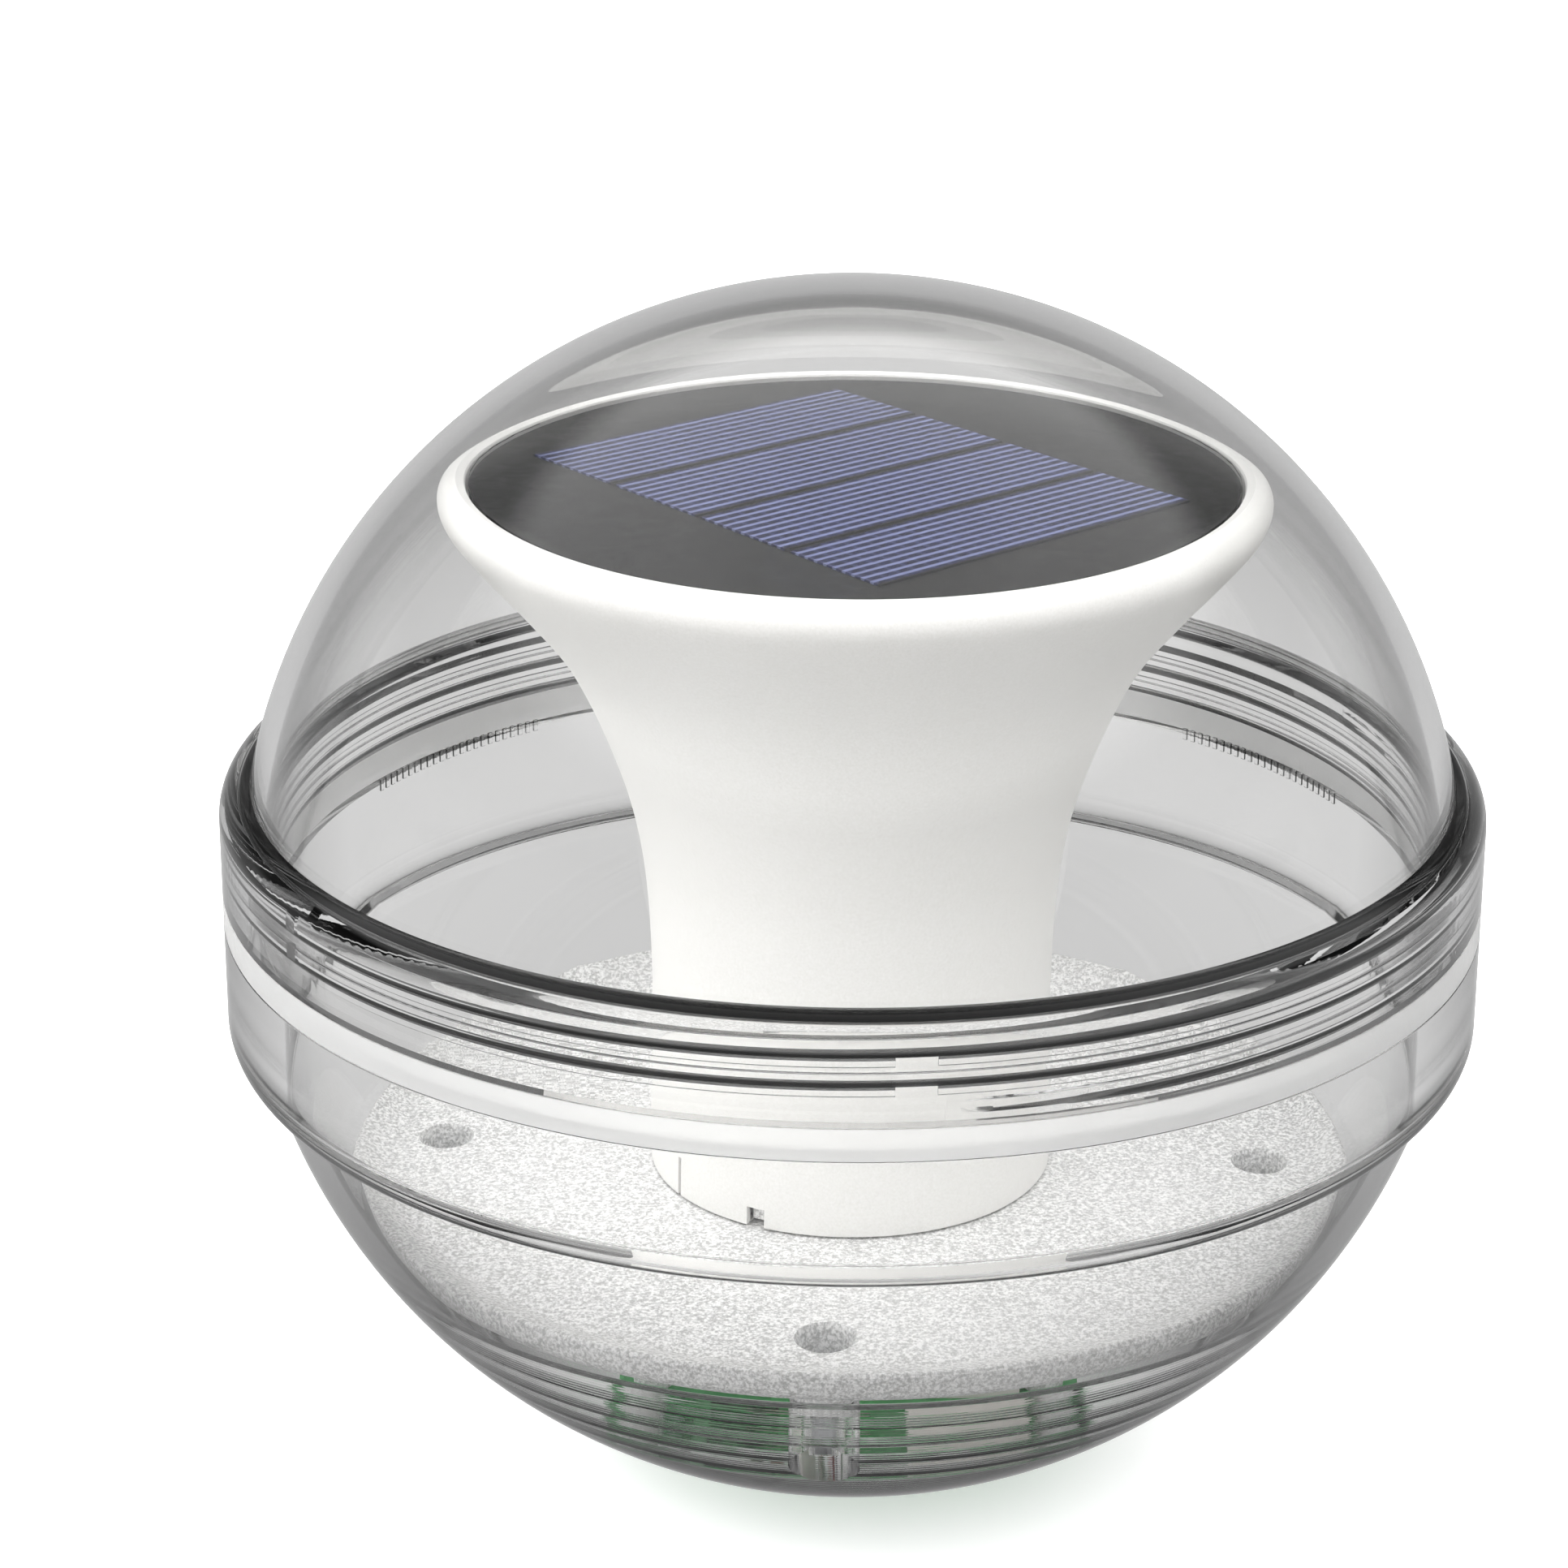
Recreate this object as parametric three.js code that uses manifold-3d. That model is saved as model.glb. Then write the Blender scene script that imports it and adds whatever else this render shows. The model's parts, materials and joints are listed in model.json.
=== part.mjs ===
// Floating pool light: a clear two-part ball with a screwed equator, a white seal between the halves,
// a white dished plate inside, and on it a frosted trumpet-shaped lamp body with a round solar panel.
// Millimetres, +Z up. The origin is the middle of the flat foot. Inside the group, heights are measured
// from the ball's equator, so a profile is a list of [radius, height] pairs.
import * as THREE from "three";
import { mergeVertices } from "three/addons/utils/BufferGeometryUtils.js";
import Module from "manifold-3d";

// Ball shells
const BALL_R = 73; // outside of both halves
const BALL_INNER_R = 70.6;
const FOOT_R = 12; // flat foot under the bowl
const FOOT_H = -Math.sqrt(BALL_R ** 2 - FOOT_R ** 2);
const FOOT_FLOOR_H = -69.4; // flat inside the bowl, over the foot

// Collar at the equator
const COLLAR_R = 75;
const DOME_KINK_H = 15.7; // where the dome meets its rounded shoulder
const SHOULDER_H = 12; // where the shoulder runs into the straight skirt
const SKIRT_BOTTOM_H = 3.3;
const SKIRT_INNER_R = 72.3;
const LEDGE_H = 14; // ceiling of the threaded space inside the dome
const FLANGE_TOP_H = -0.6;
const FLANGE_BOTTOM_H = -13;
const BOWL_KINK_H = -16.9; // where the flange's rounding meets the bowl
const NECK_R = 71;
const NECK_INNER_R = 68.4;
const NECK_TOP_H = 13.4;
const SEAL_INNER_R = 72.35;

// Thread between the halves, one start, right hand
const THREAD_PITCH = 3.4;
const THREAD_TURNS = 2.3;
const THREAD_START_DEG = -82;
const THREAD_BASE = 1.7;
const THREAD_CREST = 0.9;
const NECK_CREST_R = 72;
const DOME_CREST_R = 71.35;

// Base plate
const PLATE_TOP_H = -34;
const PLATE_BOTTOM_H = -36.4;
const PLATE_R = 61.2;
const SCREW_CIRCLE_R = 50.3;
const SCREW_TURN = -3; // degrees that the screw pattern is turned from the axes
const COUNTERBORE_R = 3.3;
const COUNTERBORE_FLOOR_H = -39.4;
const BOSS_END_H = -41;
const POST_R = 4;
const POST_TOP_H = -41.3;
const SOCKET_R = 21.2; // ring that the lamp body turns on
const SOCKET_INNER_R = 19.4;
const SOCKET_TOP_H = -27.6;
const SEAT_H = -32.3; // seat of the light board

// Lamp body
const FOOT_GAP = 0.3;
const STEM_R = 24.4;
const STEM_INNER_R = 22.2;
const GROOVE_R = 23.5; // depth of the bayonet groove in the stem's wall
const LUG_R = 23.2;
const LUG_DEG = -117; // where the lug rests, under the lock notch
const ENTRY_DEG = -146.6; // where the lug goes in
const PANEL_R = 44.3;
const PANEL_SEAT_H = 48.9;

// Electronics
const CELL_LENGTH = 46.4;
const CELL_WIDTH = 15.1;
const CELL_PITCH = 15.7;
const CELL_DEG = 40.7; // direction of the strips' length
const LIGHT_BOARD_R = 18.8;
const BOARD_SIDE = 55.4;
const BOARD_TOP_H = -55.6;
const BOARD_BOTTOM_H = -57.2;
const BOARD_POST = 23.5; // distance of the board's four posts from the X and Y axes
const BUTTON_Y = 33;
const SWITCH_BOARD_TOP_H = -41;
const BATTERY_R = 5.2;
const BATTERY_X = 13.6;
const BATTERY_AXIS_H = -47.4;

const ROUND = 48; // sides of the large round pieces
const SMALL_ROUND = 20; // sides of the small ones
const DEG = Math.PI / 180;

const wasm = await Module();
wasm.setup();

// A geometry as a manifold-3d solid, so that it can be joined or cut.
function toSolid(geometry) {
  const bare = geometry.clone();
  bare.deleteAttribute("normal");
  bare.deleteAttribute("uv");
  const merged = mergeVertices(bare, 1e-4);
  const solid = new wasm.Manifold(
    new wasm.Mesh({
      numProp: 3,
      vertProperties: merged.attributes.position.array,
      triVerts: new Uint32Array(merged.index.array),
    }),
  );
  return solid;
}

function toGeometry(solid) {
  const mesh = solid.getMesh();
  const geometry = new THREE.BufferGeometry();
  geometry.setAttribute("position", new THREE.BufferAttribute(mesh.vertProperties, 3));
  geometry.setIndex(new THREE.BufferAttribute(mesh.triVerts, 1));
  geometry.computeVertexNormals();
  return geometry;
}

// The first geometry with the added ones joined on and then the removed ones cut away.
function carve(geometry, added, removed = []) {
  let solid = toSolid(geometry);
  for (const piece of added) solid = solid.add(toSolid(piece));
  for (const piece of removed) solid = solid.subtract(toSolid(piece));
  return toGeometry(solid);
}

// Points on a circular arc about [radius, height], angles in degrees from the radial direction.
function arc(centreR, centreH, radius, from, to, steps) {
  const points = [];
  for (let i = 0; i <= steps; i++) {
    const angle = (from + ((to - from) * i) / steps) * DEG;
    points.push([centreR + radius * Math.cos(angle), centreH + radius * Math.sin(angle)]);
  }
  return points;
}

// Latitude in degrees of a height on a ball of the given radius.
function latitude(radius, height) {
  return Math.asin(height / radius) / DEG;
}

// A profile of [radius, height] turned about the vertical axis.
// Its two ends are on the axis, or it closes on itself.
function turned(profile, sides = ROUND) {
  const points = profile.map(([r, h]) => new THREE.Vector2(Math.max(r, 0), h));
  if (THREE.ShapeUtils.area(points) < 0) points.reverse();
  const onAxis = points[0].x < 1e-6 && points.at(-1).x < 1e-6;
  if (!onAxis) points.push(points[0].clone());
  return new THREE.LatheGeometry(points, sides).rotateX(Math.PI / 2);
}

// A disc or a ring between two heights.
function ring(outerR, innerR, low, high, sides = SMALL_ROUND) {
  if (innerR > 0) {
    return turned([[innerR, low], [outerR, low], [outerR, high], [innerR, high]], sides);
  }
  return turned([[0, low], [outerR, low], [outerR, high], [0, high]], sides);
}

// A box given by its middle, its size and its lowest and highest height.
function block(x, y, sizeX, sizeY, low, high) {
  return new THREE.BoxGeometry(sizeX, sizeY, high - low).translate(x, y, (low + high) / 2);
}

// The same geometry moved to a place around the axis.
function around(geometry, radius, degrees) {
  return geometry.translate(radius, 0, 0).rotateZ(degrees * DEG);
}

// A wire or rod of round section along a smooth curve through the points.
function wire(points, radius, steps, sides = 8) {
  const path = new THREE.CatmullRomCurve3(points.map((p) => new THREE.Vector3(...p)));
  const section = new THREE.Shape();
  for (let i = 0; i < sides; i++) {
    const angle = (i / sides) * 2 * Math.PI;
    const place = [radius * Math.cos(angle), radius * Math.sin(angle)];
    if (i === 0) section.moveTo(...place);
    else section.lineTo(...place);
  }
  section.closePath();
  return new THREE.ExtrudeGeometry(section, { steps, extrudePath: path });
}

// One helical ridge. Its root side is sunk into the wall it stands on, and both ends run out.
function threadRidge(wallR, crestR, startH, startDegrees) {
  const stepsPerTurn = ROUND;
  const steps = Math.round(THREAD_TURNS * stepsPerTurn);
  const sunk = Math.sign(wallR - crestR) * 0.5;
  const positions = [];
  const index = [];
  for (let i = 0; i <= steps; i++) {
    const turn = i / stepsPerTurn;
    const angle = startDegrees * DEG + turn * 2 * Math.PI;
    const height = startH + turn * THREAD_PITCH;
    const runOut = Math.min(1, (Math.min(i, steps - i) + 0.6) / 3);
    const crest = wallR + (crestR - wallR) * runOut;
    const section = [
      [wallR + sunk, -THREAD_BASE / 2],
      [crest, -THREAD_CREST / 2],
      [crest, THREAD_CREST / 2],
      [wallR + sunk, THREAD_BASE / 2],
    ];
    for (const [r, h] of section) {
      positions.push(r * Math.cos(angle), r * Math.sin(angle), height + h);
    }
  }
  const outward = crestR > wallR;
  const face = (a, b, c) => (outward ? index.push(a, b, c) : index.push(a, c, b));
  for (let i = 0; i < steps; i++) {
    for (let k = 0; k < 4; k++) {
      const a = 4 * i + k;
      const b = 4 * i + ((k + 1) % 4);
      face(a, a + 4, b);
      face(b, a + 4, b + 4);
    }
  }
  const last = 4 * steps;
  face(0, 1, 2);
  face(0, 2, 3);
  face(last, last + 2, last + 1);
  face(last, last + 3, last + 2);
  const geometry = new THREE.BufferGeometry();
  geometry.setAttribute("position", new THREE.Float32BufferAttribute(positions, 3));
  geometry.setIndex(index);
  return geometry;
}

const light = new THREE.Group();
light.position.z = -FOOT_H;

function add(name, geometry, material) {
  const mesh = new THREE.Mesh(geometry, material);
  mesh.name = name;
  light.add(mesh);
  return mesh;
}

const plastic = (color, roughness) => new THREE.MeshStandardMaterial({ color, roughness, metalness: 0 });
const metal = (color, roughness) => new THREE.MeshStandardMaterial({ color, roughness, metalness: 1 });
const clear = (color) =>
  new THREE.MeshStandardMaterial({ color, roughness: 0.05, metalness: 0, transparent: true, opacity: 0.3 });

const clearPlastic = clear(0xf2f5f5);
const sealSilicone = plastic(0xf7f7f4, 0.5);
const platePlastic = plastic(0xe8e8e6, 0.6);
const frostedPlastic = plastic(0xf6f5ee, 0.55);
const panelBlack = plastic(0x4a4b4a, 0.35);
const cellBlue = plastic(0x4a5596, 0.3);
const panelClear = clear(0xdfe4ea);
const boardGreen = plastic(0x2c7a3e, 0.4);
const boardWhite = plastic(0xeeeeea, 0.4);
const emitter = plastic(0xf3e9b4, 0.3);
const steel = metal(0xb9bcc0, 0.3);
const blackPlastic = plastic(0x1c1c1e, 0.5);
const whitePlastic = plastic(0xe6e2d6, 0.5);
const sleeve = plastic(0x3d6b52, 0.4);
const wireRed = plastic(0xb02a24, 0.5);
const wireBlack = plastic(0x202022, 0.5);
const buttonGrey = plastic(0x8b8f93, 0.6);

// Clear upper half: the dome, a rounded shoulder, and a skirt with the inside thread.
const domeKinkR = Math.sqrt(BALL_R ** 2 - DOME_KINK_H ** 2);
const shoulder = [];
for (let i = 1; i <= 4; i++) {
  const angle = (i / 4) * 90 * DEG;
  shoulder.push([
    domeKinkR + (COLLAR_R - domeKinkR) * Math.sin(angle),
    SHOULDER_H + (DOME_KINK_H - SHOULDER_H) * Math.cos(angle),
  ]);
}
const domeProfile = [
  ...arc(0, 0, BALL_R, 90, latitude(BALL_R, DOME_KINK_H), 10),
  ...shoulder,
  [COLLAR_R, SKIRT_BOTTOM_H + 0.4],
  [COLLAR_R - 0.4, SKIRT_BOTTOM_H],
  [SKIRT_INNER_R, SKIRT_BOTTOM_H],
  [SKIRT_INNER_R, LEDGE_H],
  ...arc(0, 0, BALL_INNER_R, latitude(BALL_INNER_R, LEDGE_H), 90, 9),
];
const domeThread = threadRidge(SKIRT_INNER_R, DOME_CREST_R, 4.9, THREAD_START_DEG);
add("upper_dome", carve(turned(domeProfile), [domeThread]), clearPlastic);

// Clear lower half: bowl with a flat foot, thick flange, threaded neck and four screw posts.
const bowlKinkR = Math.sqrt(BALL_R ** 2 - BOWL_KINK_H ** 2);
const flangeRounding = [];
for (let i = 1; i <= 4; i++) {
  const angle = (i / 4) * 90 * DEG;
  flangeRounding.push([
    bowlKinkR + (COLLAR_R - bowlKinkR) * Math.sin(angle),
    FLANGE_BOTTOM_H + (BOWL_KINK_H - FLANGE_BOTTOM_H) * Math.cos(angle),
  ]);
}
const neckMeetsBowlH = -Math.sqrt(BALL_INNER_R ** 2 - NECK_INNER_R ** 2);
const bowlProfile = [
  [0, FOOT_H],
  ...arc(0, 0, BALL_R, latitude(BALL_R, FOOT_H), latitude(BALL_R, BOWL_KINK_H), 10),
  ...flangeRounding,
  [COLLAR_R, FLANGE_TOP_H - 0.4],
  [COLLAR_R - 0.4, FLANGE_TOP_H],
  [NECK_R, FLANGE_TOP_H],
  [NECK_R, NECK_TOP_H - 0.5],
  [NECK_R - 0.5, NECK_TOP_H],
  [NECK_INNER_R, NECK_TOP_H],
  ...arc(0, 0, BALL_INNER_R, latitude(BALL_INNER_R, neckMeetsBowlH), latitude(BALL_INNER_R, FOOT_FLOOR_H), 9),
  [0, FOOT_FLOOR_H],
];
const neckThread = threadRidge(NECK_R, NECK_CREST_R, 3.2, THREAD_START_DEG);
const ball = turned(arc(0, 0, BALL_R - 0.6, -90, 90, 18));
const screwAngles = [0, 1, 2, 3].map((i) => SCREW_TURN - 90 + 90 * i);
let bowl = toSolid(turned(bowlProfile)).add(toSolid(neckThread));
for (const degrees of screwAngles) {
  const post = around(ring(POST_R, 0, -52, POST_TOP_H), SCREW_CIRCLE_R, degrees);
  const hole = around(ring(1.6, 0, -46.5, POST_TOP_H + 1, 12), SCREW_CIRCLE_R, degrees);
  bowl = bowl.add(toSolid(post).intersect(toSolid(ball))).subtract(toSolid(hole));
}
add("lower_bowl", toGeometry(bowl), clearPlastic);

// Silicone ring pressed between the skirt and the flange.
const sealProfile = [
  [SEAL_INNER_R, FLANGE_TOP_H + 0.3],
  [COLLAR_R - 0.3, FLANGE_TOP_H + 0.3],
  [COLLAR_R, FLANGE_TOP_H + 0.7],
  [COLLAR_R, SKIRT_BOTTOM_H - 0.7],
  [COLLAR_R - 0.3, SKIRT_BOTTOM_H - 0.3],
  [SEAL_INNER_R, SKIRT_BOTTOM_H - 0.3],
];
add("seal_ring", turned(sealProfile), sealSilicone);

// White dished plate with a turned-up rim, four screw funnels, the lamp's socket ring and its two lugs.
const plateHoleR = 7;
const plateProfile = [
  [plateHoleR, PLATE_BOTTOM_H],
  [PLATE_R - 1.8, PLATE_BOTTOM_H],
  [PLATE_R - 0.3, PLATE_TOP_H - 0.6],
  [PLATE_R, PLATE_TOP_H + 1.4],
  [PLATE_R - 0.8, PLATE_TOP_H + 1.6],
  [PLATE_R - 2.6, PLATE_TOP_H + 0.7],
  [PLATE_R - 4.7, PLATE_TOP_H],
  [SOCKET_R, PLATE_TOP_H],
  [SOCKET_R, SOCKET_TOP_H],
  [SOCKET_INNER_R, SOCKET_TOP_H],
  [SOCKET_INNER_R, SEAT_H],
  [plateHoleR, SEAT_H],
];
const plateAdded = [];
const plateCut = [];
for (const degrees of screwAngles) {
  const funnel = turned(
    [[0, BOSS_END_H], [3.6, BOSS_END_H], [5, PLATE_BOTTOM_H + 1], [0, PLATE_BOTTOM_H + 1]],
    SMALL_ROUND,
  );
  const counterbore = turned(
    [[0, COUNTERBORE_FLOOR_H], [2.95, COUNTERBORE_FLOOR_H], [COUNTERBORE_R, PLATE_TOP_H], [COUNTERBORE_R, 0], [0, 0]],
    SMALL_ROUND,
  );
  plateAdded.push(around(funnel, SCREW_CIRCLE_R, degrees));
  plateCut.push(around(counterbore, SCREW_CIRCLE_R, degrees));
  plateCut.push(around(ring(1.7, 0, -45, -38, 12), SCREW_CIRCLE_R, degrees));
}
const boardPosts = [[1, 1], [-1, 1], [-1, -1], [1, -1]].map(([x, y]) => [x * BOARD_POST, y * BOARD_POST]);
for (const [x, y] of boardPosts) {
  plateAdded.push(ring(2.4, 0, BOARD_TOP_H + 0.3, PLATE_BOTTOM_H + 1, 12).translate(x, y, 0));
  plateCut.push(ring(1.2, 0, -60, -49, 12).translate(x, y, 0));
}
for (const x of [-7.2, 7.2]) {
  const pin = ring(1.6, 0, SWITCH_BOARD_TOP_H + 0.3, PLATE_BOTTOM_H + 1, 12);
  plateAdded.push(pin.translate(x, BUTTON_Y, 0));
}
for (const half of [0, 180]) {
  const lug = block((LUG_R + SOCKET_R - 0.6) / 2, 0, LUG_R - SOCKET_R + 0.6, 1.8, PLATE_TOP_H + 0.7, PLATE_TOP_H + 2.3);
  plateAdded.push(lug.rotateZ((LUG_DEG + half) * DEG));
}
for (const x of [-15.5, 15.5]) plateCut.push(ring(1.4, 0, -36, -30, 12).translate(x, 0, 0));
plateCut.push(ring(4.2, 0, -40, -30).translate(0, BUTTON_Y, 0));
add("base_plate", carve(turned(plateProfile), plateAdded, plateCut), platePlastic);

// Four pan-head screws through the funnels into the bowl's posts.
function panScrew(headR, headHeight, shankR, shankLength) {
  const head = turned(
    [[0, -shankLength], [shankR, -shankLength], [shankR, 0], [headR, 0], [headR, headHeight * 0.5],
      [headR * 0.7, headHeight], [0, headHeight]],
    SMALL_ROUND,
  );
  const slotDepth = headHeight * 0.5;
  const slots = [
    block(0, 0, headR * 1.1, headR * 0.25, slotDepth, headHeight + 1),
    block(0, 0, headR * 0.25, headR * 1.1, slotDepth, headHeight + 1),
  ];
  return carve(head, [], slots);
}
screwAngles.forEach((degrees, i) => {
  const screw = add(`plate_screw_${i + 1}`, panScrew(2.7, 1.9, 1.4, 6.8), steel);
  screw.position.set(
    SCREW_CIRCLE_R * Math.cos(degrees * DEG),
    SCREW_CIRCLE_R * Math.sin(degrees * DEG),
    COUNTERBORE_FLOOR_H + 0.1,
  );
});

// Frosted lamp body: a trumpet, hollow from foot to panel seat, with bayonet grooves inside its foot.
const stemFootH = PLATE_TOP_H + FOOT_GAP;
const lampProfile = [
  [STEM_R, stemFootH],
  [24.1, -15],
  [24.6, 0],
  [26.3, 11],
  [29.8, 21.5],
  [34.2, 30.7],
  [39.8, 38],
  [44.6, 43.6],
  [47.2, 47],
  [47.8, 49.2],
  [47, 51],
  [45.6, 51.6],
  [44.6, 51.3],
  [44.6, PANEL_SEAT_H],
  [41.5, PANEL_SEAT_H],
  [41.5, 43],
  [37.4, 38.6],
  [32, 31],
  [27.7, 21.5],
  [24.2, 11],
  [22.6, 0],
  [22.1, -15],
  [STEM_INNER_R, stemFootH],
];
function sector(innerR, outerR, fromDegrees, toDegrees, low, high) {
  const shape = new THREE.Shape();
  const steps = Math.max(2, Math.round((toDegrees - fromDegrees) / 6));
  for (let i = 0; i <= steps; i++) {
    const angle = (fromDegrees + ((toDegrees - fromDegrees) * i) / steps) * DEG;
    if (i === 0) shape.moveTo(outerR * Math.cos(angle), outerR * Math.sin(angle));
    else shape.lineTo(outerR * Math.cos(angle), outerR * Math.sin(angle));
  }
  for (let i = steps; i >= 0; i--) {
    const angle = (fromDegrees + ((toDegrees - fromDegrees) * i) / steps) * DEG;
    shape.lineTo(innerR * Math.cos(angle), innerR * Math.sin(angle));
  }
  shape.closePath();
  return new THREE.ExtrudeGeometry(shape, { depth: high - low, bevelEnabled: false }).translate(0, 0, low);
}
const lampCut = [];
for (const half of [0, 180]) {
  const lug = LUG_DEG + half;
  const entry = ENTRY_DEG + half;
  lampCut.push(sector(21.5, GROOVE_R, entry - 3.5, lug + 3.5, stemFootH + 0.1, stemFootH + 2.4));
  lampCut.push(sector(21.5, GROOVE_R, entry - 3.5, entry + 3.5, stemFootH - 1, stemFootH + 1));
  lampCut.push(block(STEM_R, 0, 4, 2.3, stemFootH - 1, stemFootH + 2.3).rotateZ(lug * DEG));
  lampCut.push(block(STEM_R, 0, 4, 0.5, stemFootH - 1, stemFootH + 4.8).rotateZ(entry * DEG));
}
add("lamp_body", carve(turned(lampProfile), [], lampCut), frostedPlastic);

// Solar panel: a dark board, four strip cells and a clear cover.
const solarBoardTop = PANEL_SEAT_H + 1.6;
add("solar_board", ring(PANEL_R, 0, PANEL_SEAT_H + 0.1, solarBoardTop, ROUND), panelBlack);
for (let i = 0; i < 4; i++) {
  const cell = block(0, 0, CELL_LENGTH, CELL_WIDTH, solarBoardTop + 0.05, solarBoardTop + 0.3);
  cell.translate(0, (i - 1.5) * CELL_PITCH, 0).rotateZ(CELL_DEG * DEG);
  add(`solar_cell_${i + 1}`, cell, cellBlue);
}
add("panel_cover", ring(PANEL_R, 0, solarBoardTop + 0.35, solarBoardTop + 0.7, ROUND), panelClear);

// Light board with six emitters and two screws, inside the socket ring.
const lightBoardTop = SEAT_H + 1.7;
const lightBoardHoles = [-15.5, 15.5].map((x) => ring(1.4, 0, -36, -28, 12).translate(x, 0, 0));
add(
  "light_board",
  carve(ring(LIGHT_BOARD_R, 3.5, SEAT_H + 0.1, lightBoardTop, ROUND), [], lightBoardHoles),
  boardWhite,
);
for (let i = 0; i < 6; i++) {
  const emitterBlock = around(block(0, 0, 5, 5, lightBoardTop + 0.1, lightBoardTop + 1.7), 10, 30 + 60 * i);
  add(`led_${i + 1}`, emitterBlock, emitter);
}
[-15.5, 15.5].forEach((x, i) => {
  const screw = add(`light_board_screw_${i + 1}`, panScrew(2.1, 1.4, 1.1, 4.6), steel);
  screw.position.set(x, 0, lightBoardTop + 0.1);
});

// Control board low in the bowl, hung on the plate's four posts.
const boardHoles = boardPosts.map(([x, y]) => ring(1.4, 0, -60, -50, 12).translate(x, y, 0));
const boardSlab = block(0, 0, BOARD_SIDE, BOARD_SIDE, BOARD_BOTTOM_H, BOARD_TOP_H);
add("control_board", carve(boardSlab, [], boardHoles), boardGreen);
boardPosts.forEach(([x, y], i) => {
  const screw = add(`board_screw_${i + 1}`, panScrew(2.1, 1.4, 1, 4.4).rotateX(Math.PI), steel);
  screw.position.set(x, y, BOARD_BOTTOM_H - 0.1);
});
const boardSurface = BOARD_TOP_H + 0.1;
add("panel_connector", block(-9, 0, 5, 8, boardSurface, boardSurface + 4), whitePlastic);
add("light_connector", block(0, 0, 5, 8, boardSurface, boardSurface + 4), whitePlastic);
add("controller_chip", block(-12, -20, 8, 6, boardSurface, boardSurface + 1.7), blackPlastic);
add("inductor", ring(3, 0, boardSurface, boardSurface + 4.2).translate(24.2, -15, 0), blackPlastic);
add("capacitor", ring(2.6, 0, boardSurface, boardSurface + 5.5).translate(-20, -12, 0), steel);

// Small board for the switch, behind the stem.
const switchBoardBottom = SWITCH_BOARD_TOP_H - 1.6;
add("switch_board", block(0, BUTTON_Y, 19, 9, switchBoardBottom, SWITCH_BOARD_TOP_H), boardGreen);
add("power_switch", block(0, BUTTON_Y, 6, 6, SWITCH_BOARD_TOP_H + 0.1, -38.9), blackPlastic);

// Push button through the plate: cap, retaining flange and nub.
const buttonProfile = [
  [0, -38],
  [1.4, -38],
  [1.4, -37.7],
  [5.2, -37.7],
  [5.2, -36.7],
  [3.9, -36.7],
  [3.9, -33],
  [3.3, -32.4],
  [0, -32.4],
];
add("power_button", turned(buttonProfile, SMALL_ROUND).translate(0, BUTTON_Y, 0), buttonGrey);

// Battery in an open-bottomed holder on the board, between a conical spring and a flat contact.
const holderTop = BATTERY_AXIS_H + BATTERY_R + 1.7;
const holderBottom = boardSurface;
const holderShell = block(BATTERY_X, 0, 13.8, 53, holderBottom, holderTop);
const holderRoom = block(BATTERY_X, 0, 11.2, 50, holderBottom - 1, holderTop - 1.4);
add("battery_holder", carve(holderShell, [], [holderRoom]), whitePlastic);
const batteryProfile = [
  [0, -21.2],
  [4.7, -21.2],
  [BATTERY_R, -20.7],
  [BATTERY_R, 22.4],
  [4.7, 22.9],
  [1.9, 22.9],
  [1.9, 23.7],
  [0, 23.7],
];
const battery = add("battery", turned(batteryProfile, 28).rotateX(-Math.PI / 2), sleeve);
battery.position.set(BATTERY_X, 0, BATTERY_AXIS_H);
add("battery_contact", block(BATTERY_X, 24.3, 7, 0.5, BATTERY_AXIS_H - 4, BATTERY_AXIS_H + 4), steel);
const springPoints = [];
for (let i = 0; i <= 30; i++) {
  const angle = (i / 10) * 2 * Math.PI;
  const radius = 4 - 1.8 * (i / 30);
  const y = -24.2 + 2.4 * (i / 30);
  springPoints.push([BATTERY_X + radius * Math.cos(angle), y, BATTERY_AXIS_H + radius * Math.sin(angle)]);
}
add("battery_spring", wire(springPoints, 0.3, 30, 6), steel);

// Leads: two from the panel down the stem to the board, one from the light board and one from the switch.
for (const [name, side, material] of [["panel_lead_plus", 1, wireRed], ["panel_lead_minus", -1, wireBlack]]) {
  const route = [
    [1.6 * side, 0, PANEL_SEAT_H - 0.4],
    [1.1 * side, 0.6 * side, 20],
    [1.1 * side, 0, -10],
    [1.1 * side, 0, -32],
    [-4 + 1.1 * side, 0, -40],
    [-9 + 1.1 * side, 0, -47],
    [-9 + 1.1 * side, 0, boardSurface + 4.3],
  ];
  add(name, wire(route, 0.75, 20), material);
}
add("light_lead", wire([[4.6, 0, SEAT_H - 0.3], [4.2, 0, -38], [0, 0, -45], [0, 0, boardSurface + 4.3]], 1, 8), whitePlastic);
const switchRoute = [
  [0, BUTTON_Y, switchBoardBottom - 0.3],
  [0, BUTTON_Y - 1, -46],
  [0, 20, -50],
  [0, 18, -53],
  [0, 18, boardSurface + 0.4],
];
add("switch_lead", wire(switchRoute, 1, 10), whitePlastic);

export default light;
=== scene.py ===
import json
import math

import bmesh
import bpy
from mathutils import Matrix, Vector


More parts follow.
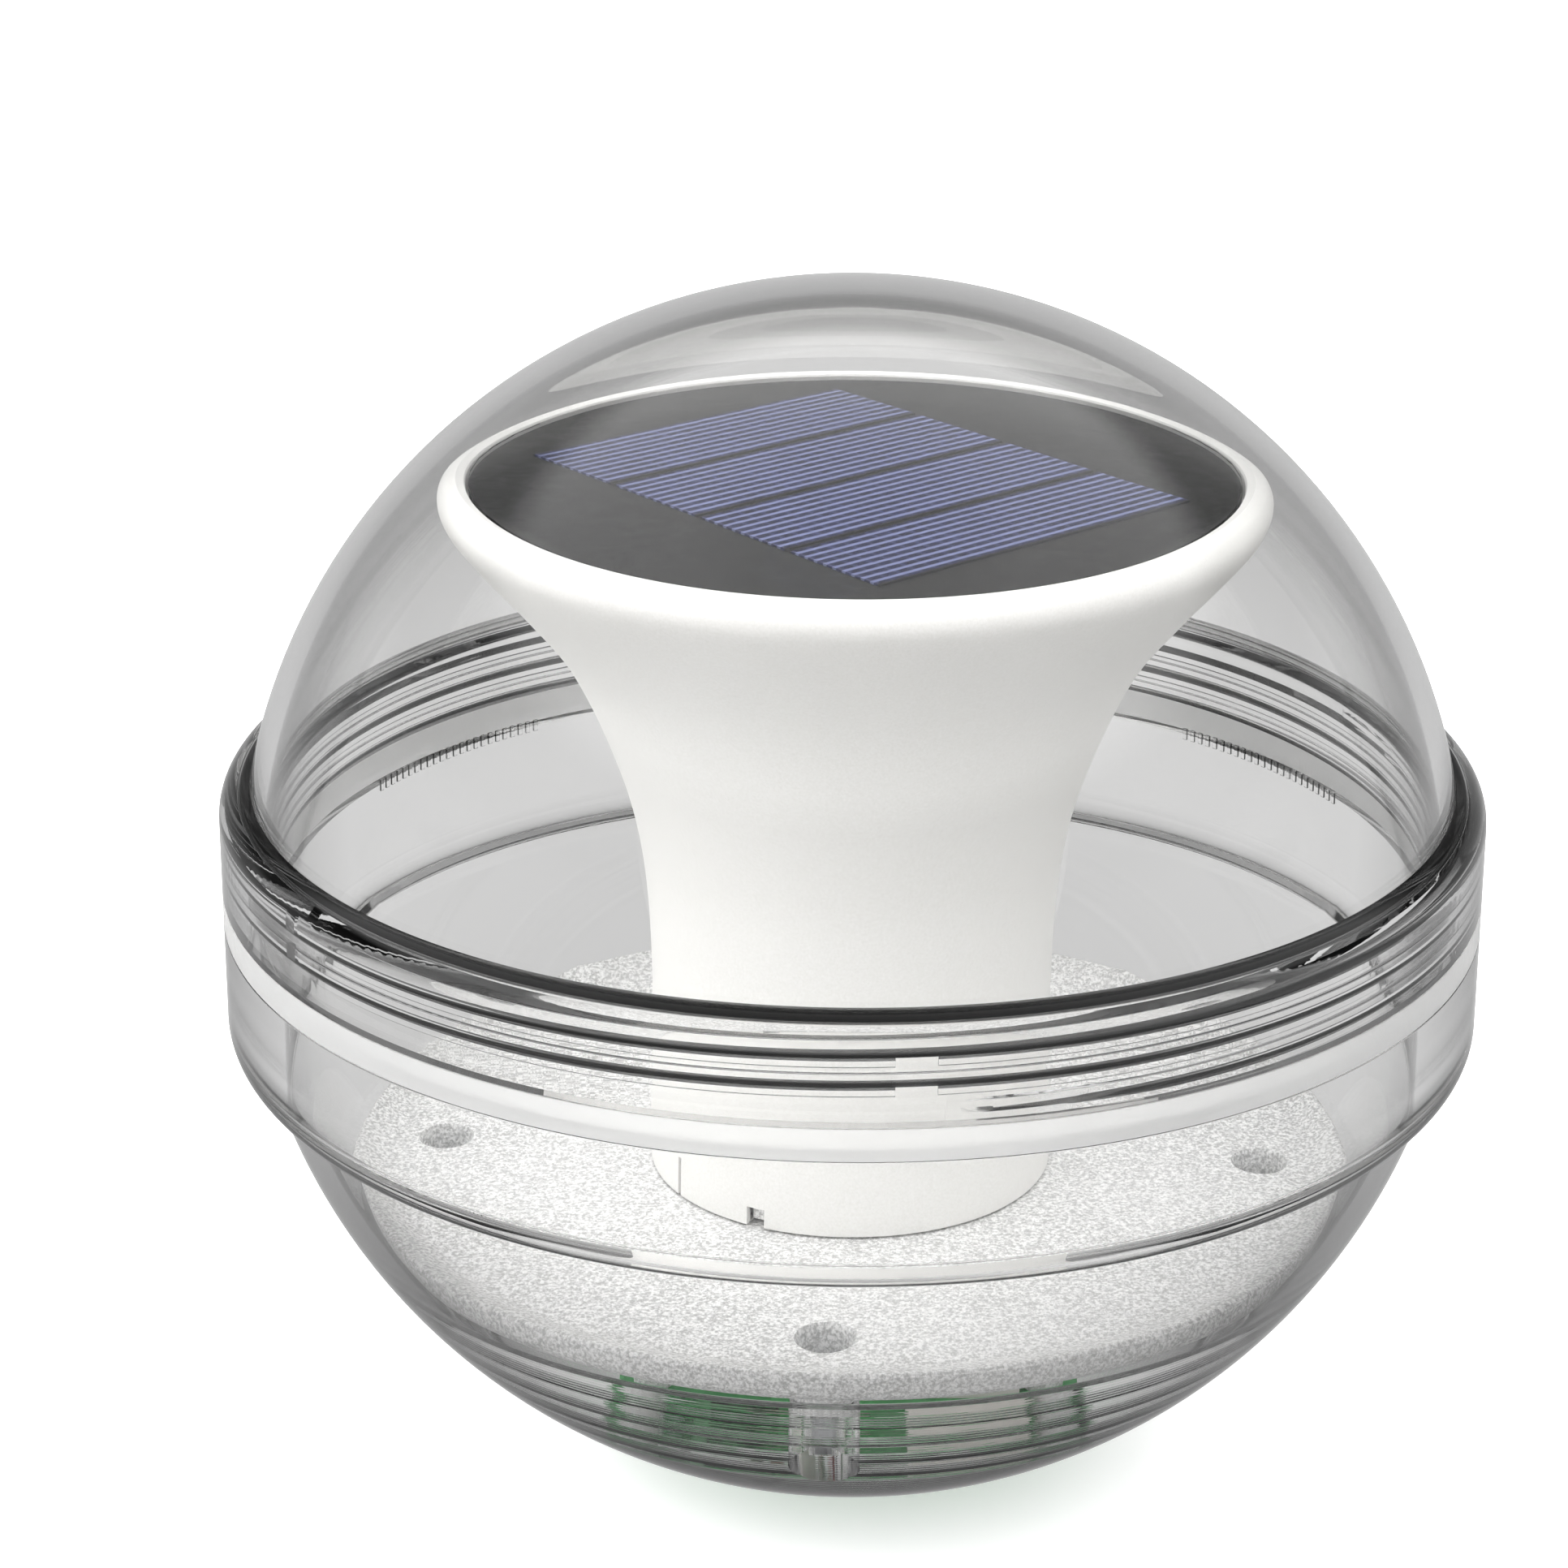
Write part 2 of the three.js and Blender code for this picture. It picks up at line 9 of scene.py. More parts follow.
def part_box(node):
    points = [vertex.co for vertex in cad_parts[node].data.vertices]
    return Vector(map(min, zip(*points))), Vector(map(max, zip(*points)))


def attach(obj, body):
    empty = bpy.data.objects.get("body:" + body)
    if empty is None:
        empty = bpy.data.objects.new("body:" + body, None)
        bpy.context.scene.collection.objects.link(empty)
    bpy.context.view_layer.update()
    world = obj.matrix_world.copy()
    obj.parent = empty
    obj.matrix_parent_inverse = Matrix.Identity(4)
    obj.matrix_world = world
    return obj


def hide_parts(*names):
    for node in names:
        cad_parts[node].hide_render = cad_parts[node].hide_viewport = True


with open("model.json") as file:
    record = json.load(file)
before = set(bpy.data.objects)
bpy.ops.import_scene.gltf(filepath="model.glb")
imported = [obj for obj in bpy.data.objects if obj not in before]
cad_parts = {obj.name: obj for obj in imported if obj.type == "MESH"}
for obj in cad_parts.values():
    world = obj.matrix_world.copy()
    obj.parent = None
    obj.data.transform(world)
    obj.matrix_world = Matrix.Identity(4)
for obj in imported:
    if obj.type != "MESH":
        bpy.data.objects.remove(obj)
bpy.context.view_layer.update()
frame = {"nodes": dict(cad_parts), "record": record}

MM = 0.001
ON_AXIS = 1e-6
WELD = 0.001 * MM
SIDES = 256
FINE_SIDES = 192
TOOL_SIDES = 48
SMALL_TOOL_SIDES = 24

# Sizes are in millimetres. Heights are measured from the ball's equator.

# The ball and its collar
BALL_R = 73
BALL_INNER_R = 70.6
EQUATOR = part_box("upper_dome")[1].z / MM - BALL_R
FOOT_H = -EQUATOR
FOOT_FLOOR_H = -69.4
COLLAR_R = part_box("seal_ring")[1].x / MM
DOME_KINK_H = 15.7
SHOULDER_H = 12
SKIRT_BOTTOM_H = 3.3
SKIRT_INNER_R = 72.3
LEDGE_H = 14
FLANGE_TOP_H = -0.6
FLANGE_BOTTOM_H = -13
BOWL_KINK_H = -16.9
NECK_R = 71
NECK_INNER_R = 68.4
NECK_TOP_H = 13.4
BEAD_DEPTH = 0.7
POST_R = 4
POST_TOP_H = -41.3
POST_FOOT_H = -51.2
POST_ROOT_R = 71.8
RIB_HEIGHTS = [-37.4, -41.2, -44.9, -48.5, -52.0]
RIB_DEPTH = 0.4
RIB_HALF_WIDTH = 0.6
SEAL_INNER_R = 72.35
SEAL_GAP = 0.03

# The thread between the halves
THREAD_PITCH = 3.4
THREAD_TURNS = 2.3
THREAD_START_DEG = -82
THREAD_BASE = 1.8
THREAD_CREST = 0.85
THREAD_RUN_OUT_STEPS = 14
NECK_THREAD_H = 3.2
NECK_CREST_R = 72
DOME_THREAD_H = 4.9
DOME_CREST_R = 71.35

# The base plate
PLATE_TOP_H = -34
PLATE_BOTTOM_H = -36.4
PLATE_R = 61.2
PLATE_HOLE_R = 7
SCREW_CIRCLE_R = 50.3
SCREW_ANGLES = [-93, -3, 87, 177]
SOCKET_R = 21.2
SOCKET_INNER_R = 19.4
SOCKET_TOP_H = -27.6
SEAT_H = -32.3
EMITTER_TOP_H = SEAT_H + 3.2
BOARD_TOP_H = -55.6
BOARD_POST = 23.5
BUTTON_Y = 33
BUTTON_HOLE_R = 4.2
SWITCH_POST_X = 7.2
LIGHT_SCREW_X = 15.5

# The lamp body and the solar panel
STEM_R = 24.4
STEM_FOOT_H = PLATE_TOP_H + 0.3
GROOVE_INNER_R = 21.5
GROOVE_R = 23.5
GROOVE_SPARE_DEG = 3.5
LUG_DEG = -117
ENTRY_DEG = -146.6
PANEL_R = 44.3
PANEL_SEAT_H = 48.9
PANEL_TOP_H = PANEL_SEAT_H + 1.6
CELL_DEG = 40.7
CELL_PITCH = 15.7
FINGER_PITCH = 1.57
CELL_RIPPLE = 2.1


# ---------------------------------------------------------------- shape tools


def new_object(name, data):
    obj = bpy.data.objects.new(name, data)
    bpy.context.scene.collection.objects.link(obj)
    return obj


def object_from(name, bm):
    """A new object with the bmesh's shape. The bmesh is freed."""
    mesh = bpy.data.meshes.new(name)
    bm.to_mesh(mesh)
    bm.free()
    return new_object(name, mesh)


def smooth(obj, sharp_degrees=28):
    """Smooth shading, in which a large face keeps its own normal beside a small rounding."""
    obj.data.shade_smooth()
    obj.data.set_sharp_from_angle(angle=math.radians(sharp_degrees))
    weighted = obj.modifiers.new("weighted", "WEIGHTED_NORMAL")
    weighted.keep_sharp = True
    weighted.weight = 100
    return obj


def arc(centre_r, centre_h, radius, start, end, steps):
    points = []
    for i in range(steps + 1):
        angle = math.radians(start + (end - start) * i / steps)
        points.append((centre_r + radius * math.cos(angle), centre_h + radius * math.sin(angle)))
    return points


def latitude(radius, height):
    return math.degrees(math.asin(height / radius))


def rounded(corner, before, after, radius, steps=4):
    """Points that round the corner of a profile, between the points before and after it."""
    c = Vector(corner)
    a = c + (Vector(before) - c).normalized() * radius
    b = c + (Vector(after) - c).normalized() * radius
    points = []
    for i in range(steps + 1):
        t = i / steps
        p = a.lerp(c, t).lerp(c.lerp(b, t), t)
        points.append((p.x, p.y))
    return points


def collar_rounding(kink_h, side_h, steps=14):
    """Points on a quarter of an ellipse, from the ball's outside at kink_h to the collar's side."""
    kink_r = math.sqrt(BALL_R ** 2 - kink_h ** 2)
    points = []
    for i in range(1, steps + 1):
        angle = math.radians(90 * i / steps)
        points.append((
            kink_r + (COLLAR_R - kink_r) * math.sin(angle),
            side_h + (kink_h - side_h) * math.cos(angle),
        ))
    return points


def spline(points, steps):
    """A smooth line through the points."""
    line = []
    ends = [points[0], *points, points[-1]]
    for i in range(1, len(ends) - 2):
        p0, p1, p2, p3 = (Vector(p) for p in ends[i - 1:i + 3])
        for k in range(steps):
            t = k / steps
            p = 0.5 * (2 * p1 + (p2 - p0) * t + (2 * p0 - 5 * p1 + 4 * p2 - p3) * t ** 2
                       + (3 * p1 - p0 - 3 * p2 + p3) * t ** 3)
            line.append((p.x, p.y))
    line.append(points[-1])
    return line


def lathe(name, profile, sides=SIDES):
    """A closed solid: the profile of (radius, height) turned about the axis.
    Its ends are on the axis, or it closes on itself."""
    bm = bmesh.new()
    rings = []
    for r, h in profile:
        z = (EQUATOR + h) * MM
        if r < ON_AXIS:
            rings.append([bm.verts.new((0, 0, z))])
        else:
            ring = []
            for i in range(sides):
                angle = 2 * math.pi * i / sides
                ring.append(bm.verts.new((r * MM * math.cos(angle), r * MM * math.sin(angle), z)))
            rings.append(ring)
    pairs = list(zip(rings, rings[1:]))
    if profile[0][0] >= ON_AXIS or profile[-1][0] >= ON_AXIS:
        pairs.append((rings[-1], rings[0]))
    for a, b in pairs:
        for i in range(sides):
            j = (i + 1) % sides
            if len(a) == 1:
                bm.faces.new((a[0], b[i], b[j]))
            elif len(b) == 1:
                bm.faces.new((a[i], b[0], a[j]))
            else:
                bm.faces.new((a[i], b[i], b[j], a[j]))
    bmesh.ops.recalc_face_normals(bm, faces=bm.faces)
    return object_from(name, bm)


# The tools below are joined onto a piece or cut from it, and are gone once they are used.


def drum(radius, low, high, x=0.0, y=0.0, sides=TOOL_SIDES):
    """A round pin or hole."""
    tool = lathe("tool", [(0, low), (radius, low), (radius, high), (0, high)], sides)
    tool.data.transform(Matrix.Translation((x * MM, y * MM, 0)))
    return tool


def slab(x, y, size_x, size_y, low, high, degrees=0.0):
    """A bar, turned about the axis."""
    bm = bmesh.new()
    bmesh.ops.create_cube(bm, size=1)
    middle = Vector((x, y, EQUATOR + (low + high) / 2)) * MM
    scale = Matrix.Diagonal((size_x * MM, size_y * MM, (high - low) * MM, 1))
    turn = Matrix.Rotation(math.radians(degrees), 4, "Z")
    bmesh.ops.transform(bm, matrix=turn @ Matrix.Translation(middle) @ scale, verts=bm.verts)
    return object_from("tool", bm)


def skin(rows):
    """A closed solid through rows of points in millimetres, capped at both ends."""
    bm = bmesh.new()
    made = [[bm.verts.new(Vector(point) * MM) for point in row] for row in rows]
    for a, b in zip(made, made[1:]):
        for k in range(len(a)):
            m = (k + 1) % len(a)
            bm.faces.new((a[k], b[k], b[m], a[m]))
    bm.faces.new(made[0])
    bm.faces.new(made[-1])
    bmesh.ops.recalc_face_normals(bm, faces=bm.faces)
    return object_from("tool", bm)


def sector(inner_r, outer_r, start, end, low, high, steps=24):
    """Part of a ring between two angles."""
    rows = []
    for i in range(steps + 1):
        angle = math.radians(start + (end - start) * i / steps)
        section = [(inner_r, low), (outer_r, low), (outer_r, high), (inner_r, high)]
        rows.append([(r * math.cos(angle), r * math.sin(angle), EQUATOR + h) for r, h in section])
    return skin(rows)


def thread_ridge(wall_r, crest_r, start_h):
    """One helical ridge, with its root sunk into the wall and its ends running out."""
    steps = round(THREAD_TURNS * SIDES)
    sunk = 0.5 if wall_r > crest_r else -0.5
    base, crest = THREAD_BASE / 2, THREAD_CREST / 2
    rows = []
    for i in range(steps + 1):
        turn = i / SIDES
        angle = math.radians(THREAD_START_DEG) + turn * 2 * math.pi
        depth = (crest_r - wall_r) * min(1, (min(i, steps - i) + 1) / THREAD_RUN_OUT_STEPS)
        section = [
            (wall_r + sunk, -base),
            (wall_r, -base),
            (wall_r + depth * 0.8, -crest - 0.12),
            (wall_r + depth, -crest + 0.1),
            (wall_r + depth, crest - 0.1),
            (wall_r + depth * 0.8, crest + 0.12),
            (wall_r, base),
            (wall_r + sunk, base),
        ]
        height = EQUATOR + start_h + turn * THREAD_PITCH
        rows.append([(r * math.cos(angle), r * math.sin(angle), height + h) for r, h in section])
    return skin(rows)


def thread_break(inner_r, outer_r, low, high, width, degrees):
    """A narrow block that cuts a ring's ridges where the parts of its mould meet."""
    return slab((inner_r + outer_r) / 2, 0, outer_r - inner_r, width, low, high, degrees)


def knurl():
    """Fine upright grip ribs on two stretches of the neck's inner wall."""
    bm = bmesh.new()
    scale = Matrix.Diagonal((0.7 * MM, 0.6 * MM, 1.5 * MM, 1))
    shift = Matrix.Translation(Vector((NECK_INNER_R + 0.1, 0, EQUATOR + 0.1)) * MM)
    for start in (26, 128):
        for i in range(24):
            turn = Matrix.Rotation(math.radians(start + 1.05 * i), 4, "Z")
            rib = bmesh.ops.create_cube(bm, size=1)["verts"]
            bmesh.ops.transform(bm, matrix=turn @ shift @ scale, verts=rib)
    return object_from("tool", bm)


def around(obj, radius, degrees):
    """The object moved out from the axis by the radius, at the angle."""
    turn = Matrix.Rotation(math.radians(degrees), 4, "Z")
    obj.data.transform(turn @ Matrix.Translation((radius * MM, 0, 0)))
    return obj


def carve(obj, added=(), removed=()):
    """The object with the added tools joined on, and then the removed ones cut away."""
    for operation, tools in (("UNION", added), ("DIFFERENCE", removed)):
        for tool in tools:
            modifier = obj.modifiers.new("carve", "BOOLEAN")
            modifier.operation = operation
            modifier.solver = "MANIFOLD"
            modifier.object = tool
            shape = obj.evaluated_get(bpy.context.evaluated_depsgraph_get())
            mesh = bpy.data.meshes.new_from_object(shape)
            obj.modifiers.clear()
            obj.data = mesh
            bpy.data.objects.remove(tool)
    bm = bmesh.new()
    bm.from_mesh(obj.data)
    bmesh.ops.remove_doubles(bm, verts=bm.verts, dist=WELD)
    bmesh.ops.dissolve_degenerate(bm, edges=bm.edges, dist=WELD)
    bm.to_mesh(obj.data)
    bm.free()
    return obj


# ------------------------------------------------------------------ materials


class Nodes:
    """A node tree, built a node at a time."""

    def __init__(self, tree):
        self.tree = tree

    def node(self, kind, operation=None, **links):
        """A new node. Each link is a socket's name, or i and its number, with a value or source."""
        made = self.tree.nodes.new(kind)
        if operation:
            made.operation = operation
        for key, value in links.items():
            numbered = key[0] == "i" and key[1:].isdigit()
            self.join(made.inputs[int(key[1:])] if numbered else made.inputs[key], value)
        return made

    def join(self, socket, value):
        if isinstance(value, bpy.types.NodeSocket):
            self.tree.links.new(value, socket)
        else:
            socket.default_value = value

    def math(self, operation, a, b=0.0, c=0.0):
        return self.node("ShaderNodeMath", operation, i0=a, i1=b, i2=c).outputs[0]

    def product(self, *values):
        result = values[0]
        for value in values[1:]:
            result = self.math("MULTIPLY", result, value)
        return result

    def saw(self, value):
        """0 at each half number and 0.5 at each whole number."""
        return self.math("ABSOLUTE", self.math("SUBTRACT", self.math("FRACT", value), 0.5))

    def parts(self, vector):
        return self.node("ShaderNodeSeparateXYZ", Vector=vector).outputs

    def remap(self, value, low, high, to_low, to_high):
        made = self.node("ShaderNodeMapRange", i0=value, i1=low, i2=high, i3=to_low, i4=to_high)
        return made.outputs[0]

    def mix(self, factor, a, b):
        made = self.tree.nodes.new("ShaderNodeMix")
        made.data_type = "RGBA"
        for socket, value in ((made.inputs[0], factor), (made.inputs[6], a), (made.inputs[7], b)):
            self.join(socket, (*value, 1) if isinstance(value, tuple) else value)
        return made.outputs[2]

    def ramp(self, value, stops):
        made = self.node("ShaderNodeValToRGB", Fac=value)
        elements = made.color_ramp.elements
        while len(elements) < len(stops):
            elements.new(0.5)
        for element, (position, grey) in zip(elements, stops):
            element.position = position
            element.color = (grey, grey, grey, 1)
        return made.outputs[0]


class Shader(Nodes):
    """A material with a Principled shader, in the coordinates of the frame."""

    def __init__(self, name, color, roughness, metallic=0.0, **sockets):
        self.material = bpy.data.materials.new(name)
        self.material.use_nodes = True
        super().__init__(self.material.node_tree)
        self.bsdf = self.tree.nodes["Principled BSDF"]
        self.bsdf.inputs["Base Color"].default_value = (*color, 1)
        self.bsdf.inputs["Roughness"].default_value = roughness
        self.bsdf.inputs["Metallic"].default_value = metallic
        for key, value in sockets.items():
            self.bsdf.inputs[key.replace("_", " ")].default_value = value
        self.place = self.node("ShaderNodeTexCoord").outputs["Object"]

    def noise(self, scale, detail=3.0, roughness=0.5, stretch=None):
        """Noise of about 0 to 1. The scale counts per metre, and stretch multiplies it per axis."""
        vector = self.place
        if stretch:
            vector = self.node("ShaderNodeMapping", Vector=vector, Scale=stretch).outputs[0]
        made = self.node("ShaderNodeTexNoise", Vector=vector, Scale=scale, Detail=detail,
                         Roughness=roughness)
        return made.outputs["Fac"]

    def set(self, socket, value):
        self.tree.links.new(value, self.bsdf.inputs[socket])

    def bump(self, height, distance):
        made = self.node("ShaderNodeBump", Height=height, Distance=distance, Strength=1.0)
        self.set("Normal", made.outputs[0])


def moulded(name, color, roughness, grain=1400.0, spread=0.04, depth=0.00003, **sockets):
    """Moulded plastic: fine grain, patchy roughness, and a little colour variation."""
    s = Shader(name, color, roughness, **sockets)
    patches = s.noise(45, 4)
    darker = tuple(c * (1 - spread) for c in color)
    lighter = tuple(min(1, c * (1 + spread)) for c in color)
    s.set("Base Color", s.mix(s.remap(patches, 0.3, 0.7, 0, 1), darker, lighter))
    s.set("Roughness", s.remap(patches, 0.3, 0.7, roughness * 0.85, min(1, roughness * 1.15)))
    s.bump(s.noise(grain, 2, 0.6), depth)
    return s.material


def polished(name, tint, ior):
    """Polished clear moulding with hair scratches, and the normal of its faint flow marks."""
    s = Shader(name, tint, 0.02, Transmission_Weight=1.0, IOR=ior)
    flow = s.node("ShaderNodeBump", Height=s.noise(18, 2), Distance=0.00012, Strength=0.25)
    s.set("Roughness", s.remap(s.noise(900, 1, stretch=(1, 0.06, 0.3)), 0.55, 0.8, 0.0, 0.035))
    return s, flow.outputs[0]


def clear_resin(name, tint, ior):
    s, flow = polished(name, tint, ior)
    s.set("Normal", flow)
    return s.material


def clear_shell(name, tint, ior, painted_shade_color):
    """The ball's clear plastic, with painted shade: its colour is painted dark where it is seen
    edge on, on the flanks of each thread's ridges and on the outside under the flange. Its lower
    inner wall has fine tool rings."""
    s, flow = polished(name, tint, ior)
    x, y, z = s.parts(s.place)
    height = s.math("SUBTRACT", z, EQUATOR * MM)
    square = s.math("ADD", s.math("MULTIPLY", x, x), s.math("MULTIPLY", y, y))
    radius = s.math("SQRT", square)
    normal = s.node("ShaderNodeNewGeometry").outputs["Normal"]
    slope = s.remap(s.math("ABSOLUTE", s.parts(normal)[2]), 0.25, 0.45, 0, 1)
    # Painted shade: a dark mask on the thread flanks inside the collar.
    thread_flank_shade = s.product(
        s.math("GREATER_THAN", height, 1 * MM),
        s.math("LESS_THAN", height, (LEDGE_H + 0.3) * MM),
        s.math("GREATER_THAN", radius, NECK_INNER_R * MM),
        s.math("LESS_THAN", radius, (SKIRT_INNER_R + 0.3) * MM),
        slope,
    )
    # Painted shade where the plastic is seen edge on, weaker above the dome's kink.
    edge_on = s.node("ShaderNodeLayerWeight").outputs["Facing"]
    thinner = s.remap(height, DOME_KINK_H * MM, (DOME_KINK_H + 8) * MM, 1, 0.6)
    edge_on_shade = s.product(s.remap(edge_on, 0.55, 0.9, 0, 1), thinner)
    # Painted shade on the outside of the bowl's rounding under the flange, where it is seen edge
    # on.
    from_rounding = s.math("SUBTRACT", height, (BOWL_KINK_H + 2.2) * MM)
    under_flange_shade = s.product(
        s.math("LESS_THAN", s.math("ABSOLUTE", from_rounding), 2.6 * MM),
        s.math("GREATER_THAN", radius, (NECK_R + 0.4) * MM),
        s.remap(edge_on, 0.5, 0.75, 0, 1),
    )
    # The three painted shade masks darken the plastic's colour towards the painted shade colour.
    dark = s.math("MAXIMUM", s.math("MAXIMUM", thread_flank_shade, edge_on_shade), under_flange_shade)
    s.set("Base Color", s.mix(dark, tint, painted_shade_color))
    from_centre = s.math("SQRT", s.math("ADD", square, s.math("MULTIPLY", height, height)))
    grooves = s.product(
        s.math("LESS_THAN", from_centre, (BALL_INNER_R + 0.6) * MM),
        s.math("LESS_THAN", height, (RIB_HEIGHTS[0] + 1) * MM),
        s.math("SINE", s.math("MULTIPLY", height, 2 * math.pi / (0.5 * MM))),
        s.noise(260, 2),
    )
    rings = s.node("ShaderNodeBump", Height=grooves, Distance=0.00002, Strength=1.0, Normal=flow)
    s.set("Normal", rings.outputs[0])
    return s.material


def speckled(name, color, dark, light, size, contrast, roughness, depth, **sockets):
    """Fine-grained white plastic with the speckle of a spark-eroded mould."""
    s = Shader(name, color, roughness, **sockets)
    grains = s.noise(size, 2, 0.7)
    mixed = s.mix(s.remap(grains, 0.5 - contrast, 0.5 + contrast, 0, 1), dark, light)
    s.set("Base Color", s.mix(s.remap(s.noise(24, 3), 0.3, 0.7, 0.0, 0.35), mixed, color))
    s.set("Roughness", s.remap(grains, 0.3, 0.7, roughness * 0.8, min(1, roughness * 1.2)))
    s.bump(grains, depth)
    return s.material


def panel_board():
    """Dark board with a fine weave under its surface."""
    s = Shader("panel_board", (0.04, 0.04, 0.039), 0.6, Specular_IOR_Level=0.08)
    weave = s.noise(600, 2, 0.6)
    clouds = s.remap(s.noise(30, 3), 0.3, 0.7, 0, 1)
    s.set("Base Color", s.mix(clouds, (0.04, 0.04, 0.039), (0.046, 0.046, 0.045)))
    s.set("Roughness", s.remap(weave, 0.3, 0.7, 0.5, 0.7))
    s.bump(weave, 0.000005)
    return s.material


def solar_cell():
    """Blue crystalline strip with pale collector lines along it and a dark margin."""
    s = Shader("solar_cell", (0.05, 0.06, 0.2), 0.5, Specular_IOR_Level=0.12)
    turned = s.node("ShaderNodeVectorRotate", Vector=s.place, Angle=math.radians(-CELL_DEG))
    turned.rotation_type = "Z_AXIS"
    along, across, _ = s.parts(turned.outputs[0])
    lines = s.saw(s.math("MULTIPLY_ADD", across, 1 / (FINGER_PITCH * MM), 0.5))
    finger = s.remap(lines, 0.24, 0.15, 0, 1)
    strip = s.saw(s.math("MULTIPLY", across, 1 / (CELL_PITCH * MM)))
    margin = s.remap(strip, 0.45, 0.465, 0, 1)
    crystals = s.node("ShaderNodeTexVoronoi", Vector=turned.outputs[0], Scale=260.0)
    blue = s.mix(crystals.outputs["Color"], (0.012, 0.016, 0.055), (0.024, 0.031, 0.095))
    ripple = s.saw(s.math("MULTIPLY", along, 1 / (CELL_RIPPLE * MM)))
    blue = s.mix(s.remap(ripple, 0.32, 0.5, 0, 0.35), blue, (0.12, 0.13, 0.3))
    lined = s.mix(s.math("MULTIPLY", finger, 0.85), blue, (0.23, 0.26, 0.46))
    s.set("Base Color", s.mix(margin, lined, (0.03, 0.03, 0.034)))
    s.set("Roughness", s.remap(finger, 0, 1, 0.45, 0.65))
    s.bump(finger, 0.00002)
    return s.material


def solder_mask():
    """Green board with lighter copper tracks under the mask."""
    s = Shader("solder_mask", (0.03, 0.22, 0.07), 0.35, Coat_Weight=0.5, Coat_Roughness=0.15)
    cells = s.node("ShaderNodeTexVoronoi", Vector=s.place, Scale=330.0)
    cells.distance = "CHEBYCHEV"
    cells.feature = "F1"
    tracks = s.remap(cells.outputs["Distance"], 0.3, 0.36, 0, 1)
    s.set("Base Color", s.mix(tracks, (0.13, 0.62, 0.2), (0.09, 0.48, 0.15)))
    s.set("Roughness", s.remap(s.noise(400), 0.3, 0.7, 0.28, 0.45))
    s.bump(tracks, 0.00003)
    return s.material


def plated_steel():
    """Bright plated steel with a fine upright brush."""
    s = Shader("plated_steel", (0.62, 0.63, 0.65), 0.28, metallic=1.0)
    brushed = s.noise(500, 2, stretch=(1, 1, 0.08))
    s.set("Roughness", s.remap(brushed, 0.3, 0.7, 0.2, 0.42))
    s.set("Base Color", s.mix(brushed, (0.5, 0.51, 0.53), (0.7, 0.71, 0.73)))
    s.bump(brushed, 0.00001)
    return s.material


def battery_sleeve():
    """Printed sleeve in two plain colours."""
    s = Shader("battery_sleeve", (0.1, 0.3, 0.16), 0.35, Coat_Weight=0.3)
    band = s.math("LESS_THAN", s.parts(s.place)[1], -12 * MM)
    shade = s.mix(s.noise(120, 3), (0.08, 0.26, 0.13), (0.12, 0.34, 0.19))
    s.set("Base Color", s.mix(band, shade, (0.6, 0.61, 0.6)))
    s.set("Roughness", s.remap(s.noise(300), 0.3, 0.7, 0.28, 0.42))
    s.bump(s.noise(90), 0.00004)
    return s.material


def emitter_chip():
    """Yellow phosphor window in a white package."""
    s = Shader("emitter_chip", (0.9, 0.89, 0.84), 0.35)
    spots = s.noise(800, 2)
    top = s.math("GREATER_THAN", s.parts(s.place)[2], (EQUATOR + EMITTER_TOP_H) * MM)
    phosphor = s.mix(spots, (0.85, 0.68, 0.2), (0.92, 0.8, 0.35))
    s.set("Base Color", s.mix(top, (0.9, 0.89, 0.84), phosphor))
    s.bump(spots, 0.00002)
    return s.material


# The clear plastic's last colour is the dark colour of its painted shade.
clear = clear_shell("clear_moulding_painted_shade", (0.993, 0.992, 0.99), 1.49, (0.04, 0.04, 0.04))
seal_material = moulded("seal_silicone", (0.84, 0.84, 0.835), 0.5, grain=700, spread=0.015,
                        depth=0.00004, Transmission_Weight=0.8, IOR=1.3)
plate_material = speckled(
    "plate_plastic", (0.86, 0.86, 0.855), (0.42, 0.42, 0.415), (0.96, 0.96, 0.955),
    size=2300, contrast=0.12, roughness=0.5, depth=0.00005,
)
lamp_material = speckled(
    "frosted_plastic", (0.9, 0.895, 0.87), (0.84, 0.835, 0.8), (0.95, 0.945, 0.925),
    size=3600, contrast=0.25, roughness=0.48, depth=0.00002,
    Subsurface_Weight=0.15, Subsurface_Scale=0.006, Subsurface_Radius=(1, 1, 1),
)
panel_material = panel_board()

# --------------------------------------------------------------------- camera

VIEW_ELEVATION = math.radians(22.6)
VIEW_ROLL = math.radians(0.45)
VIEW_DISTANCE = 7.8 * BALL_R * MM
LENS = 108.8
SHIFT_X = -0.0435
SHIFT_Y = 0.0643

centre = Vector((0, 0, EQUATOR * MM))
view_from = Vector((0, -math.cos(VIEW_ELEVATION), math.sin(VIEW_ELEVATION)))
camera_place = centre + VIEW_DISTANCE * view_from
level = Vector((1, 0, 0))
forward = (centre - camera_place).normalized()
upright = level.cross(forward)
rightward = math.cos(VIEW_ROLL) * level + math.sin(VIEW_ROLL) * upright
upward = math.cos(VIEW_ROLL) * upright - math.sin(VIEW_ROLL) * level
camera_data = bpy.data.cameras.new("camera")
camera = new_object("camera", camera_data)
placement = Matrix((rightward, upward, -forward)).transposed().to_4x4()
placement.translation = camera_place
camera.matrix_world = placement
camera_data.sensor_width = 36
camera_data.lens = LENS
camera_data.shift_x = SHIFT_X
camera_data.shift_y = SHIFT_Y
camera_data.clip_start = 0.01
bpy.context.scene.camera = camera

# --------------------------------------------------------------------- pieces

